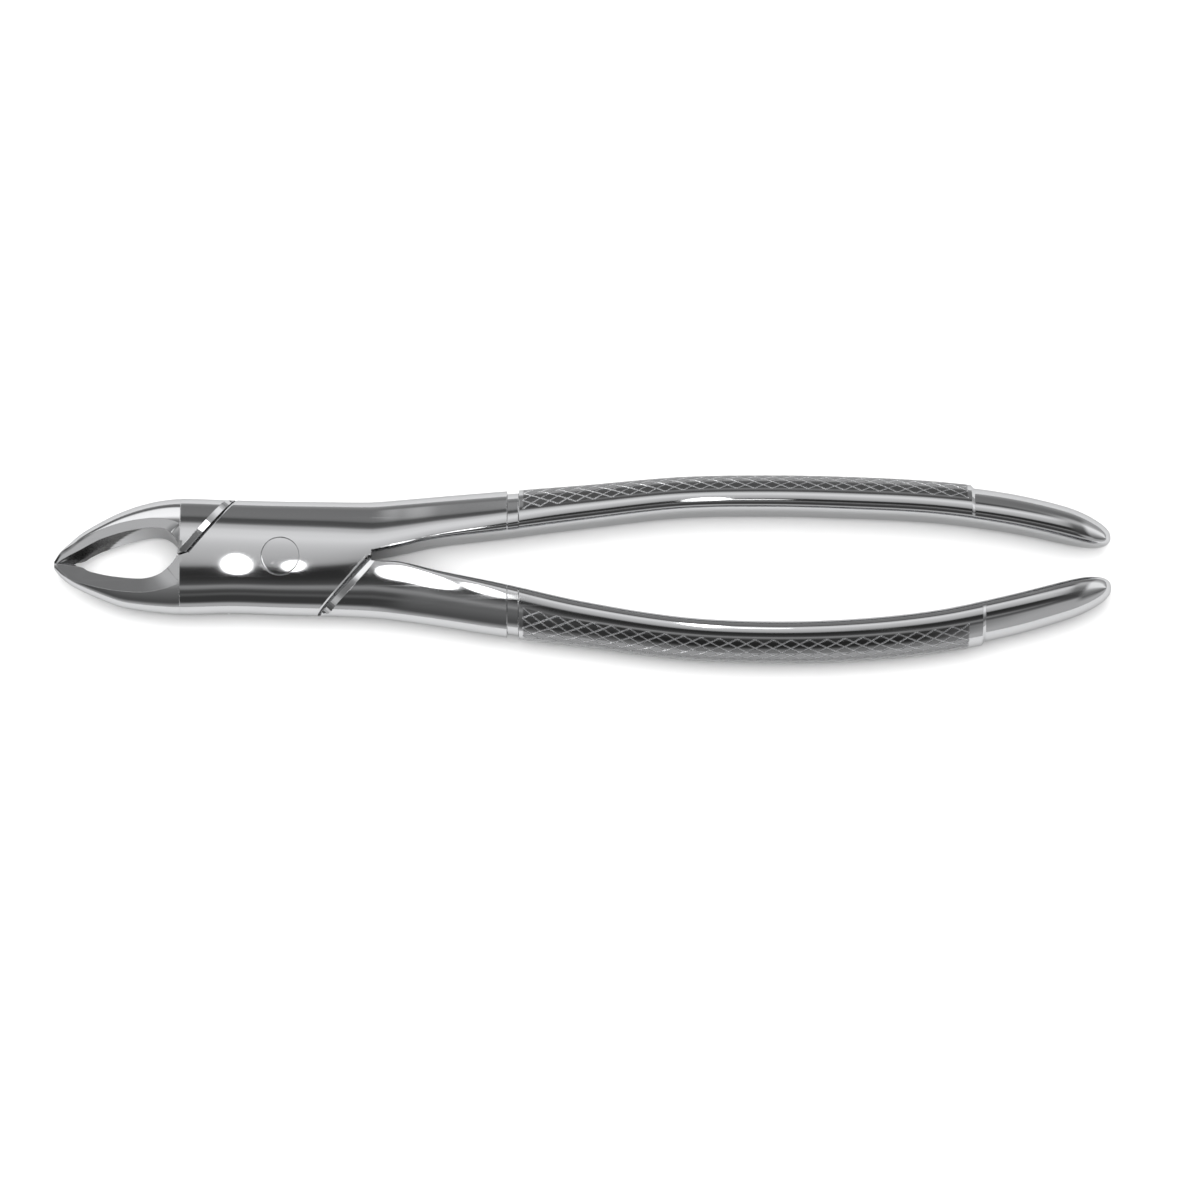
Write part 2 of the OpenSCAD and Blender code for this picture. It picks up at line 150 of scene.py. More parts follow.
GRIP_STEP = 0.52
NECK_THINNING = 0.4             # how much of that the neck and tail also lose in half height
GRIP_PITCH = 2.95
GRIP_ROWS = 25                  # pitches along the grip
COLLAR = 0.6                    # smooth collar between the neck and the knurl
REAR_COLLAR = {1: 0.6, -1: 2.2}
NECK_RAMP = 0.12
TAIL_RAMP = 0.5
END_BLUNT = 2.5
KNURL_N = 12                    # steps of the mesh in one pitch of the knurl
KNURL_ROWS = 8                  # pitches round the outer face
KNURL_DEPTH = 0.2
KNURL_HALF = 1                  # half of a groove's width, in mesh steps
KNURL_SHADE_FADE = 0.7                # how much the painted shade on the knurl's lands fades out along the outermost side
SHADE_FADE_START, SHADE_FADE_LENGTH = 2.8, 0.8    # where that starts, in pitches from the knurl's edge

HALVINGS = 26                   # how often top_height halves its search
JUST_INSIDE = 0.985             # share of a section's half width where its height is still well defined

# Numbers of sections along each stretch of a lever.
TIP_RINGS, BEAK_RINGS, BLOCK_RINGS, SHANK_RINGS = 14, 50, 64, 50
PLAIN_RINGS, TAIL_RINGS, ROUND_RINGS = 8, 36, 44
TIP_SHARE = 0.18                # share of the beak where the sections stand closer
LAST_TURN = 89.2                # degrees: the last section, just short of the handle's end

# Sections: the crown's power, how far it would overhang the side wall, and the power that joins the two.
BLOCK_SHAPE = (2.2, 1.08, 10.0)
BEAK_SHAPE = (2.0, 1.12, 8.0)
DOME_SHAPE = (1.85, 1.12, 8.0)
INNER_SHAPE = (2.6, 1.35, 6.0)

# Where a section's points stand along its outer and its inner side, as shares of the side's length.
SWEEP = np.radians(np.linspace(90, -90, 721))
BAND = 0.095                    # share of the outer side that stays smooth beside each crest
BAND_STEPS = 8
INNER_STEPS = 40
OUTER_CUTS = np.concatenate([np.linspace(0, BAND, BAND_STEPS + 1)[:-1],
                             np.linspace(BAND, 1 - BAND, KNURL_ROWS * KNURL_N + 1),
                             np.linspace(1 - BAND, 1, BAND_STEPS + 1)[1:]])
INNER_CUTS = 0.5 - 0.5 * np.cos(np.linspace(0, math.pi, INNER_STEPS + 1))
INNER_CUTS = 0.5 * INNER_CUTS + 0.5 * np.linspace(0, 1, INNER_STEPS + 1)


# ---------------------------------------------------------------- curves
def smooth(x):
    x = np.clip(x, 0, 1)
    return x * x * (3 - 2 * x)


def hermite(t, a, b, slope_a, slope_b):
    return ((2 * t**3 - 3 * t**2 + 1) * a + (t**3 - 2 * t**2 + t) * slope_a
            + (3 * t**2 - 2 * t**3) * b + (t**3 - t**2) * slope_b)


def curve(table, x, column=1):
    """Smooth curve through a table's rows, at x."""
    t = np.asarray(table, float)
    xs, ys = t[:, 0], t[:, column]
    slopes = np.empty(len(xs))
    slopes[1:-1] = (ys[2:] - ys[:-2]) / (xs[2:] - xs[:-2])
    slopes[0] = (ys[1] - ys[0]) / (xs[1] - xs[0])
    slopes[-1] = (ys[-1] - ys[-2]) / (xs[-1] - xs[-2])
    i = np.clip(np.searchsorted(xs, x, side="right") - 1, 0, len(xs) - 2)
    w = xs[i + 1] - xs[i]
    return hermite((x - xs[i]) / w, ys[i], ys[i + 1], w * slopes[i], w * slopes[i + 1])


def closed_curve(points, n):
    """Closed curve through points, sharp at the first."""
    p = np.asarray(points, float)
    last = len(p) - 1
    out = []
    for i in range(len(p)):
        a, b = p[i], p[0 if i == last else i + 1]
        before = a if i == 0 else p[i - 1]
        after = b if i == last else (p[0] if i + 2 > last else p[i + 2])
        out += [hermite(k / n, a, b, (b - before) / 2, (after - a) / 2) for k in range(n)]
    return np.array(out)


# ---------------------------------------------------------------- sections
def side_radius(c, s, a, b, shape):
    """Distance to the section's edge in direction (c, s): a crowned top with a steeper side wall."""
    p, over, k = shape
    wall = (1 - over ** -k) ** (1 / k)
    crown = ((np.abs(c) / (over * a)) ** p + (np.abs(s) / b) ** p) ** (1 / p)
    return (crown**k + (wall * np.abs(c) / a) ** k) ** (-1 / k)


def half_section(a, b, shape, cuts):
    """Points from the top crest over the side at +a to the bottom crest, at shares of the length."""
    c, s = np.cos(SWEEP), np.sin(SWEEP)
    r = side_radius(c, s, a, b, shape)
    y, z = r * c, r * s
    length = np.concatenate([[0], np.cumsum(np.hypot(np.diff(y), np.diff(z)))])
    at = cuts * length[-1]
    return np.interp(at, length, y), np.interp(at, length, z)


def section(x, crest, outer, inner, b, outer_shape, inner_shape):
    """One closed ring, in a frame where the lever's own handle is at +y."""
    yo, zo = half_section(outer - crest, b, outer_shape, OUTER_CUTS)
    yi, zi = half_section(crest - inner, b, inner_shape, INNER_CUTS)
    y = np.concatenate([crest + yo[:-1], (crest - yi[1:])[::-1]])
    z = np.concatenate([zo[:-1], zi[1:][::-1]])
    return np.stack([np.full(len(y), x), y, z], 1)


def lerp_shape(s, t, q):
    return tuple(u + (v - u) * q for u, v in zip(s, t))


def head_form(x, side):
    """The head's section at x: upper edge, lower edge, crest, half height and shape."""
    upper, lower = curve(UPPER_EDGE, x), curve(LOWER_EDGE, x)
    if side < 0:
        upper, lower = -lower, -upper
    to_crotch = max(0.0, x - crease_x) / (crotch_x - crease_x)
    handle = UPPER_HANDLE if side > 0 else LOWER_HANDLE
    end_crest = curve(handle, crotch_x, 1) - curve(handle, crotch_x, 2) * (0.5 - CREST_SHARE[0][1])
    crest = (upper + lower) / 2 * (1 - to_crotch) + end_crest * to_crotch**5
    b = curve(BEAK_HEIGHT, x) if x < crease_x else curve(BODY_HEIGHT, x)
    shape = BEAK_SHAPE if x < crease_x else lerp_shape(BLOCK_SHAPE, DOME_SHAPE, to_crotch**3)
    return upper, lower, crest, b, shape


def head_section(x, side):
    upper, lower, crest, b, shape = head_form(x, side)
    return section(x, crest, upper, lower, b, shape, shape)


def top_height(x, y):
    """Height of the head's surface above the middle of the joint, over (x, y)."""
    upper, lower, crest, b, shape = head_form(min(max(x, tip_x), crotch_x), 1)
    a = upper - crest if y > crest else crest - lower
    across = min(abs(y - crest), JUST_INSIDE * a)
    low, high = 0.0, b
    for _ in range(HALVINGS):
        middle = (low + high) / 2
        reach = math.hypot(across, middle)
        if side_radius(across / reach, middle / reach, a, b, shape) < reach:
            high = middle
        else:
            low = middle
    return low


def grip_end(side):
    return grip_start_x + COLLAR + GRIP_ROWS * GRIP_PITCH + REAR_COLLAR[side]


def set_in(x, side):
    """How far the outer side of the handle is set in: the neck, and the tail behind the grip."""
    neck = grip_start_x - neck_l
    if neck < x < grip_start_x:
        return GRIP_STEP * min(1.0, (x - neck) / NECK_RAMP, (grip_start_x - x) / NECK_RAMP)
    past = x - grip_end(side)
    return GRIP_STEP * min(1.0, past / TAIL_RAMP) if past > 0 else 0.0


def handle_section(x, side):
    table = UPPER_HANDLE if side > 0 else LOWER_HANDLE
    q = max(0.0, (x - round_start_x) / (end_x - round_start_x))
    roundness = max(0.0, 1 - q**END_BLUNT) ** (1 / END_BLUNT)
    middle, width, inset = curve(table, x, 1), curve(table, x, 2), set_in(x, side)
    inner = middle - width / 2 * roundness
    outer = middle + (width / 2 - inset) * roundness
    crest = inner + (outer - inner) * curve(CREST_SHARE, x)
    b = (curve(BODY_HEIGHT, x) - inset * NECK_THINNING) * roundness
    return section(x, crest, outer, inner, b, DOME_SHAPE, INNER_SHAPE)


# ---------------------------------------------------------------- a lever's outer form
def stations(side):
    """Where the sections stand along the head and along the handle, and the knurl's first ring."""
    beak, end = crease_x - tip_x, grip_end(side)
    tip_xs = tip_x + beak * (1 - np.cos(np.linspace(0, math.pi / 2, TIP_RINGS)[:-1])) * TIP_SHARE
    beak_xs = np.linspace(tip_x + beak * TIP_SHARE, crease_x - 0.05, BEAK_RINGS)
    block_xs = np.linspace(crease_x, crotch_x, BLOCK_RINGS)
    shank_xs = np.linspace(crotch_x + 0.02, grip_start_x - neck_l, SHANK_RINGS)
    neck_xs = grip_start_x - neck_l + np.array([0.04, 0.08, 0.12, 0.5, 1.0, 1.5, 1.88, 1.92, 1.96])
    collar_xs = [grip_start_x, grip_start_x + 0.1, grip_start_x + 0.3]
    knurl_xs = grip_start_x + COLLAR + GRIP_PITCH / KNURL_N * np.arange(GRIP_ROWS * KNURL_N + 1)
    plain_xs = np.linspace(knurl_xs[-1], end, PLAIN_RINGS)[1:]
    ramp_xs = end + np.array([0.1, 0.25, 0.4, TAIL_RAMP])
    tail_xs = np.linspace(end + 0.8, round_start_x, TAIL_RINGS)
    turns = np.radians(np.linspace(0, LAST_TURN, ROUND_RINGS)[1:])
    round_xs = round_start_x + (end_x - round_start_x) * np.sin(turns)
    head_xs = np.concatenate([tip_xs, beak_xs, block_xs])
    to_knurl = np.concatenate([shank_xs, neck_xs, collar_xs])
    handle_xs = np.concatenate([to_knurl, knurl_xs, plain_xs, ramp_xs, tail_xs, round_xs])
    return head_xs, handle_xs, len(head_xs) + len(to_knurl)


def off_groove(k):
    """Mesh steps from k to the nearest groove of its family."""
    k = k % KNURL_N
    return np.minimum(k, KNURL_N - k)


def sink_knurl(rings, first):
    """Sinks two families of grooves along the normals, and gives each point's groove value and knurl value,
    its lands' share of painted shade.
    """
    n_rows, n_cols = GRIP_ROWS * KNURL_N + 1, KNURL_ROWS * KNURL_N + 1
    rows, cols = slice(first, first + n_rows), slice(BAND_STEPS, BAND_STEPS + n_cols)
    tangent = np.roll(rings[rows], -1, 1) - np.roll(rings[rows], 1, 1)
    normal = np.stack([np.zeros(tangent.shape[:2]), -tangent[..., 2], tangent[..., 1]], -1)
    normal /= np.linalg.norm(normal, axis=-1, keepdims=True) + 1e-12
    i, j = np.arange(n_rows)[:, None], np.arange(n_cols)
    inside = (i > 0) & (i < n_rows - 1) & (j > 0) & (j < n_cols - 1)
    groove, knurl = np.zeros(rings.shape[:2]), np.zeros(rings.shape[:2])
    away = np.minimum(off_groove(i - j), off_groove(i + j))
    groove[rows, cols] = inside * np.maximum(0.0, 1 - away / KNURL_HALF)
    from_edge = np.minimum(j, n_cols - 1 - j) / KNURL_N
    # The lands' painted shade fades out towards the outermost side.
    knurl[rows, cols] = inside * (1 - KNURL_SHADE_FADE * smooth((from_edge - SHADE_FADE_START) / SHADE_FADE_LENGTH))
    rings[rows, cols] -= normal[:, cols] * (KNURL_DEPTH * groove[rows, cols])[..., None]
    return groove, knurl


def ring_faces(count, ring_n, first):
    """Faces between the rings, closed at both ends. On the knurl they are split along its grooves."""
    faces = []
    for r in range(count - 1):
        i = r - first
        for k in range(ring_n):
            a, b = r * ring_n + k, r * ring_n + (k + 1) % ring_n
            c, d = b + ring_n, a + ring_n
            j = k - BAND_STEPS
            if not (0 <= i < GRIP_ROWS * KNURL_N and 0 <= j < KNURL_ROWS * KNURL_N):
                faces.append((a, b, c, d))
            elif off_groove(i - j) <= off_groove(i + j + 1):
                faces += [(a, b, c), (a, c, d)]
            else:
                faces += [(a, b, d), (b, c, d)]
    faces.append(tuple(range(ring_n))[::-1])
    faces.append(tuple((count - 1) * ring_n + k for k in range(ring_n)))
    return faces


def make_mesh(name, verts, faces):
    """A mesh object from millimetres."""
    mesh = bpy.data.meshes.new(name)
    mesh.from_pydata((np.asarray(verts) * MM).tolist(), [], faces)
    mesh.validate()
    bm = bmesh.new()
    bm.from_mesh(mesh)
    bmesh.ops.recalc_face_normals(bm, faces=bm.faces)
    bm.to_mesh(mesh)
    bm.free()
    obj = bpy.data.objects.new(name, mesh)
    bpy.context.scene.collection.objects.link(obj)
    return obj


def lever_mesh(name, side):
    """The lever's whole outer form, before the joint is cut, as a closed mesh."""
    head_xs, handle_xs, first = stations(side)
    rings = np.array([head_section(x, side) for x in head_xs] + [handle_section(x, side) for x in handle_xs])
    groove, knurl = sink_knurl(rings, first)
    verts = rings.reshape(-1, 3).copy()
    verts[:, 1] *= side
    faces = ring_faces(*rings.shape[:2], first)
    if side < 0:
        faces = [face[::-1] for face in faces]
    lever = make_mesh(name, verts + [0, 0, mid_z], faces)
    for key, values in (("groove", groove), ("knurl", knurl)):
        lever.data.attributes.new(key, "FLOAT", "POINT").data.foreach_set("value", values.reshape(-1))
    return lever


# ---------------------------------------------------------------- cutters of the lap and its shoulders
def seam_point(seam, gap, along):
    angle, r = math.radians(seam[0]), seam[1] - math.copysign(gap, seam[1])
    return np.array([r * math.sin(angle) + along * math.cos(angle),
                     along * math.sin(angle) - r * math.cos(angle)])


def beak_edge(gap, tip):
    """The line between the levers in front of the rivet, from outside the joint to the tips and beyond."""
    outside, inside = SEAM_REACH + BEAK_SEAM[2], -BEAK_SEAM[2]
    return [seam_point(BEAK_SEAM, gap, outside), seam_point(BEAK_SEAM, gap, inside),
            np.array([crease_x, CREASE_SPLIT_Y - gap]), np.array([BITE_X, tip]), np.array([-FAR, tip])]


def handle_edge(gap):
    """The same line behind the rivet, from beyond the handles to outside the joint."""
    outside, inside = -SEAM_REACH - HANDLE_SEAM[2], HANDLE_SEAM[2]
    return [np.array([FAR, gap + CROTCH_SPLIT_Y]), np.array([CROTCH_SPLIT_X, gap + CROTCH_SPLIT_Y]),
            seam_point(HANDLE_SEAM, gap, inside), seam_point(HANDLE_SEAM, gap, outside)]


def shoulder_outlines(gap, tip):
    """What the other lever takes at full height: its beak and its handle."""
    beak, handle = beak_edge(gap, tip), handle_edge(gap)
    return [beak + [np.array([-FAR, FAR]), np.array([beak[0][0], FAR])],
            handle + [np.array([handle[-1][0], -FAR]), np.array([FAR, -FAR])]]


def between_outline(tip):
    """What lies between the two shoulders, where each lever keeps only its own layer."""
    beak, handle = beak_edge(0, tip), handle_edge(0)
    below = [np.array([-FAR, -FAR]), np.array([handle[-1][0], -FAR])]
    return [np.array([beak[0][0], FAR])] + beak + below + handle[::-1] + [np.array([FAR, FAR])]


def stack_faces(count, n):
    """Quads between count closed rings of n points each."""
    return [(r * n + k, r * n + (k + 1) % n, (r + 1) * n + (k + 1) % n, (r + 1) * n + k)
            for r in range(count - 1) for k in range(n)]


def prism(name, outline, low, high, flip):
    """A vertical prism; flip = True turns it into the front lever's, mirrored across and upside down."""
    pts = np.array(outline, float)
    n = len(pts)
    if flip:
        pts = pts * [1, -1]
        low, high = -high, -low
    verts = [[p[0], p[1], low + mid_z] for p in pts] + [[p[0], p[1], high + mid_z] for p in pts]
    faces = [tuple(range(n)), tuple(range(2 * n - 1, n - 1, -1))]
    faces += [(k, n + k, n + (k + 1) % n, (k + 1) % n) for k in range(n)]
    return make_mesh(name, verts, faces)


def chamfer_strip(name, seam, gap, size, side, flip):
    """Takes a chamfer off a seam's edge, following the surface; side = 1 is away from the rivet."""
    width, depth, past = size
    angle, way = math.radians(seam[0]), math.copysign(1, seam[1])
    normal = np.array([math.sin(angle), -math.cos(angle)]) * way * side
    mirror = -1 if flip else 1
    lift = np.array([0, 0, CHAMFER_CLEAR])
    verts = []
    for along in way * np.linspace(seam[2] + past, -CHAMFER_OUT, CHAMFER_STEPS):
        foot = seam_point(seam, gap, along)
        edge = foot + normal * width
        low = np.array([foot[0], foot[1], top_height(foot[0], foot[1] * mirror) - depth])
        high = np.array([edge[0], edge[1], top_height(edge[0], edge[1] * mirror)])
        step = (high - low) * CHAMFER_OVERSHOOT
        verts += [low - step, high + step, high + step + lift, low - step + lift]
    faces = stack_faces(CHAMFER_STEPS, 4)
    faces += [(3, 2, 1, 0), tuple(4 * (CHAMFER_STEPS - 1) + k for k in range(4))]
    verts = np.array(verts)
    if flip:
        verts = verts * [1, -1, -1]
    return make_mesh(name, verts + [0, 0, mid_z], faces)


# ---------------------------------------------------------------- the cutter between the beaks
def mirrored(table):
    """The same outline on the other face, where the two beaks change places."""
    base = np.array(OPENING)
    change = np.array(table) - base
    out = base.copy()
    out[0] = table[0]
    out[1:] = base[1:] + change[:0:-1] * [1, -1]
    return out


def rim_height(x):
    return np.array([curve(RIM_HEIGHT, v) for v in np.minimum(x, RIM_END_X)])


def facet_rings(face, edge, ridge):
    """One face's facet as rings, from outside the surface in to its inner edge, and that edge's height."""
    inner, outer = closed_curve(edge, OUTLINE_STEPS), closed_curve(ridge, OUTLINE_STEPS)
    cut = np.where(outer[:, 0] > RIDGE_END_X,
                   (outer[:, 0] - RIDGE_END_X) / np.maximum(outer[:, 0] - inner[:, 0], HAIR), 0)
    width = np.maximum(np.linalg.norm(outer - inner, axis=1), NARROWEST)
    drop = RIM_DROP * np.minimum(1, width / FULL_FACET)
    out = (outer - inner) / width[:, None]
    rear = smooth((outer[:, 0] - REAR_X) / REAR_FADE)
    clear = np.clip((RIDGE_END_X - outer[:, 0]) / RIDGE_FADE, 0, 1) * PAST_RIDGE
    ridge_rim = rim_height(outer[:, 0])
    top = ridge_rim * (1 - rear) + rear * np.array([top_height(min(x, crease_x), y) for x, y in outer])

    def level(share):
        """The facet at a share of the way in from the ridge, and its height there."""
        at = outer + (inner - outer) * share[:, None]
        slope = (rim_height(at[:, 0]) - ridge_rim) * (1 - rear)
        return at, top + slope - drop * share

    ridge_at, ridge_z = level(cut)
    past = ridge_at + out * clear[:, None]
    past_z = ridge_z + drop * clear / width + HAIR
    rings = [np.column_stack([past, face * (past_z + CLEAR_HEIGHT)]), np.column_stack([past, face * past_z])]
    for t in FACET_STEPS:
        at, z = level(cut + (1 - cut) * t)
        rings.append(np.column_stack([at, face * z]))
    return rings, level(np.ones(len(outer)))[1]


def wall_ring(u, top_edge, bottom_edge, wall_z):
    """The walls between the facets at level u, from 1 at the top facet's inner edge to -1 at the bottom's."""
    opening = np.array(OPENING)
    pinch = np.array(PINCH)[:, None]
    to_top = (1 + u) / 2 * (1 - pinch) + max(u, 0.0) * pinch
    to_bottom = (1 - u) / 2 * (1 - pinch) + max(-u, 0.0) * pinch
    points = opening + (top_edge - opening) * to_top + (bottom_edge - opening) * to_bottom
    line = closed_curve(points, OUTLINE_STEPS)
    turn = np.roll(line, -1, 0) - np.roll(line, 1, 0)
    away = np.stack([-turn[:, 1], turn[:, 0]], 1) / np.linalg.norm(turn, axis=1, keepdims=True)
    share = np.clip((line[:, 0] - HOLLOW_START_X) / HOLLOW_FADE, 0, 1)
    line = line + away * (HOLLOW * (1 - u * u) * share)[:, None]
    return np.column_stack([line, u * wall_z])


def beak_cutter():
    """The space between the beaks: slightly hollowed walls, and a facet up to the ridge on both faces."""
    top_edge, bottom_edge = np.array(RIM_EDGE), mirrored(RIM_EDGE)
    top_rings, top_z = facet_rings(1, top_edge, np.array(RIM_RIDGE))
    bottom_rings, bottom_z = facet_rings(-1, bottom_edge, mirrored(RIM_RIDGE))
    walls = [wall_ring(u, top_edge, bottom_edge, top_z if u > 0 else bottom_z) for u in WALL_LEVELS]
    stack = top_rings + walls + bottom_rings[::-1]
    n = len(stack[0])
    faces = [tuple(range(n)), tuple(range(len(stack) * n - 1, (len(stack) - 1) * n - 1, -1))]
    faces += [(a, d, c, b) for a, b, c, d in stack_faces(len(stack), n)]
    return make_mesh("beak_cutter", np.concatenate(stack) + [0, 0, mid_z], faces)


def bore_cutter(radius):
    angles = np.linspace(0, 2 * math.pi, ROUND_STEPS, endpoint=False)
    circle = [[radius * math.cos(t), radius * math.sin(t)] for t in angles]
    return prism("bore_cutter", circle, -half_t - 1, half_t + 1, False)


def subtract(obj, cutters):
    for cutter in cutters:
        mod = obj.modifiers.new("cut", "BOOLEAN")
        mod.operation = "DIFFERENCE"
        mod.solver = "MANIFOLD"
        mod.object = cutter
        bpy.context.view_layer.objects.active = obj
        bpy.ops.object.modifier_apply(modifier=mod.name)


# ---------------------------------------------------------------- normals, and the rough, painted-shade part of the beaks
SHARP = math.radians(20)
TOUCHING = 2e-6                 # metres
SAME_PLANE = 0.97               # cosine between a face and the surface it was cut from
NO_AREA = 1e-14                 # square metres
PROBE = 0.05                    # how far a corner's probe stands in from it, towards the face's middle
SMOOTH_END_X = crotch_x + 3     # behind this no cut reaches a lever's surface


class Surface:
    """A smooth surface that corner normals are taken from."""

    def __init__(self, obj, sharp=SHARP):
        mesh = obj.data
        mesh.shade_smooth()
        mesh.set_sharp_from_angle(angle=sharp)
        mesh.calc_loop_triangles()
        co = np.empty(len(mesh.vertices) * 3)
        mesh.vertices.foreach_get("co", co)
        self.co = co.reshape(-1, 3)
        normals = np.empty(len(mesh.loops) * 3)
        mesh.corner_normals.foreach_get("vector", normals)
        self.normals = normals.reshape(-1, 3)
        self.tris = np.array([t.vertices for t in mesh.loop_triangles])
        self.loops = np.array([t.loops for t in mesh.loop_triangles])
        self.tree = BVHTree.FromPolygons(self.co.tolist(), self.tris.tolist())

    def normal_at(self, probe, point, face_normal):
        """The smooth normal at point, if the surface passes through probe along the face, or None."""
        hit, flat, index, _ = self.tree.find_nearest(probe, TOUCHING)
        if hit is None or abs(flat.dot(face_normal)) < SAME_PLANE:
            return None
        a, b, c = self.co[self.tris[index]]
        v0, v1, v2 = b - a, c - a, np.array(point) - a
        d00, d01, d11, d20, d21 = v0 @ v0, v0 @ v1, v1 @ v1, v2 @ v0, v2 @ v1
        denom = d00 * d11 - d01 * d01
        if abs(denom) < 1e-26:
            return None
        v = min(1.0, max(0.0, (d11 * d20 - d01 * d21) / denom))
        w = min(1.0 - v, max(0.0, (d00 * d21 - d01 * d20) / denom))
        na, nb, nc = self.normals[self.loops[index]]
        n = Vector(na * (1 - v - w) + nb * v + nc * w).normalized()
        return n if n.dot(face_normal) > 0 else -n


def smooth_from(obj, surfaces):
    """Corner normals on the cut head come from the surfaces it was cut from, flat on the plane cuts."""
    mesh = obj.data
    mesh.shade_smooth()
    mesh.set_sharp_from_angle(angle=SHARP)
    custom = [(0.0, 0.0, 0.0)] * len(mesh.loops)
    for poly in mesh.polygons:
        centre = poly.center
        if centre.x > SMOOTH_END_X * MM or poly.area < NO_AREA:
            continue
        for li in poly.loop_indices:
            point = mesh.vertices[mesh.loops[li].vertex_index].co
            probe = point.lerp(centre, PROBE)
            tries = (surface.normal_at(probe, point, poly.normal) for surface in surfaces)
            custom[li] = tuple(next(filter(None, tries), poly.normal))
    mesh.normals_split_custom_set(custom)


JAW_X = -21.5                   # the beaks' gripping walls are left rough, and darkened as painted shade, in front of this
JAW_STEEP = 0.75                # only faces steeper than this count as walls
JAW_WIDTH = 4.3
JAW_FADE = 0.5
JAW_RIM = 0.05                  # the walls count up to this far below the facets
MIDLINE = [[tip_x, -0.6], [-34.3, -0.6], [-25, 0.4], [-20, 0.8]]
# How far down the rough part, with its painted shade, goes.
JAW_FLOOR = [[tip_x, -4], [-30, -3.2], [-28, -1.4], [-25, 0.9], [-23.2, 2.6], [-20, 6]]


def jaw_share(point, normal):
    """How rough, and how darkened by painted shade, a beak's inner wall is at a point: 1 along its outer
    half, 0 where it is polished.
    """
    x, y, z = max(point.x, tip_x), point.y, point.z - mid_z
    across = y - curve(MIDLINE, x)
    if abs(across) > JAW_WIDTH or across * normal.y > 0 or abs(z) > curve(RIM_HEIGHT, x) - JAW_RIM:
        return 0.0
    return float(smooth((z * math.copysign(1, across) - curve(JAW_FLOOR, x)) / JAW_FADE + 0.5))


def mark_jaws(obj):
    """Stores how rough each corner of the beaks' walls is, and how far painted shade darkens it, for the
    material.
    """
    mesh = obj.data
    jaw = mesh.attributes.new("jaw", "FLOAT", "CORNER")
    for poly in mesh.polygons:
        if poly.area < NO_AREA or poly.center.x >= JAW_X * MM or abs(poly.normal.z) >= JAW_STEEP:
            continue
        for li in poly.loop_indices:
            jaw.data[li].value = jaw_share(mesh.vertices[mesh.loops[li].vertex_index].co / MM, poly.normal)


# ---------------------------------------------------------------- levers and rivet
def build_lever(name, side):
    flip = side > 0
    lever = lever_mesh(name, side)
    form = Surface(lever)
    tip = -tip_y if flip else tip_y
    opening = beak_cutter()
    hollow = Surface(opening, 2 * SHARP)
    bore = bore_cutter(rivet_r + RIVET_CLEARANCE)
    bore_side = Surface(bore)
    cutters = [opening, bore]
    for outline in shoulder_outlines(SEAM_GAP, tip_gap - tip):
        cutters.append(prism("other_shoulder", outline, -FAR, FAR, not flip))
    cutters.append(prism("own_layer", between_outline(tip + tip_gap), -lap_gap / 2, FAR, flip))
    for seam in (BEAK_SEAM, HANDLE_SEAM):
        cutters.append(chamfer_strip("shoulder_chamfer", seam, 0, SHOULDER_CHAMFER, 1, flip))
        cutters.append(chamfer_strip("lap_chamfer", seam, SEAM_GAP, LAP_CHAMFER, -1, not flip))
    subtract(lever, cutters)
    mark_jaws(lever)
    smooth_from(lever, [form, hollow, bore_side])
    for cutter in cutters:
        bpy.data.objects.remove(cutter)
    return lever


def build_rivet():
    """The rivet, with both ends ground to the joint's crown and their edges rounded."""
    n = ROUND_STEPS
    profile = [(r, 0.0) for r in np.linspace(0, rivet_r - RIVET_EDGE, RIVET_RINGS)[1:]]
    for q in (0.35, 0.7, 1.0):
        turn = q * math.pi / 2
        r = rivet_r - RIVET_EDGE + RIVET_EDGE * math.sin(turn)
        profile.append((r, RIVET_EDGE * (1 - math.cos(turn))))
    top = [[0, 0, top_height(0, 0)]]
    for r, drop in profile:
        for k in range(n):
            x, y = r * math.cos(2 * math.pi * k / n), r * math.sin(2 * math.pi * k / n)
            top.append([x, y, top_height(x, y) - drop])
    top = np.array(top)
    m, loops = len(top), len(profile)
    faces = []
    for base, order in ((0, 1), (m, -1)):
        for k in range(n):
            faces.append((base, base + 1 + k, base + 1 + (k + 1) % n)[::order])
        for r in range(loops - 1):
            a = base + 1 + r * n
            for k in range(n):
                faces.append((a + k, a + n + k, a + n + (k + 1) % n, a + (k + 1) % n)[::order])
    a, b = 1 + (loops - 1) * n, m + 1 + (loops - 1) * n
    faces += [(a + k, b + k, b + (k + 1) % n, a + (k + 1) % n) for k in range(n)]
    rivet = make_mesh("rivet", np.concatenate([top, top * [1, 1, -1]]) + [0, 0, mid_z], faces)
    rivet.data.shade_smooth()
    rivet.data.set_sharp_from_angle(angle=RIVET_SHARP)
    return rivet


# ---------------------------------------------------------------- shader nodes
def node(tree, kind, **settings):
    n = tree.nodes.new(kind)
    for key, value in settings.items():
        if key in n.inputs:
            n.inputs[key].default_value = value
        else:
            setattr(n, key, value)
    return n


def feed(tree, socket, value):
    """Links an output to the socket, or sets the socket's own value."""
    if isinstance(value, bpy.types.NodeSocket):
        tree.links.new(value, socket)
    else:
        socket.default_value = value


def maths(tree, operation, *values, clamp=False):
    n = node(tree, "ShaderNodeMath", operation=operation, use_clamp=clamp)
    for socket, value in zip(n.inputs, values):
        feed(tree, socket, value)
    return n.outputs[0]


def mixed(tree, share, first, second):
    n = node(tree, "ShaderNodeMixRGB")
    for key, value in (("Fac", share), ("Color1", first), ("Color2", second)):
        feed(tree, n.inputs[key], value)
    return n.outputs["Color"]


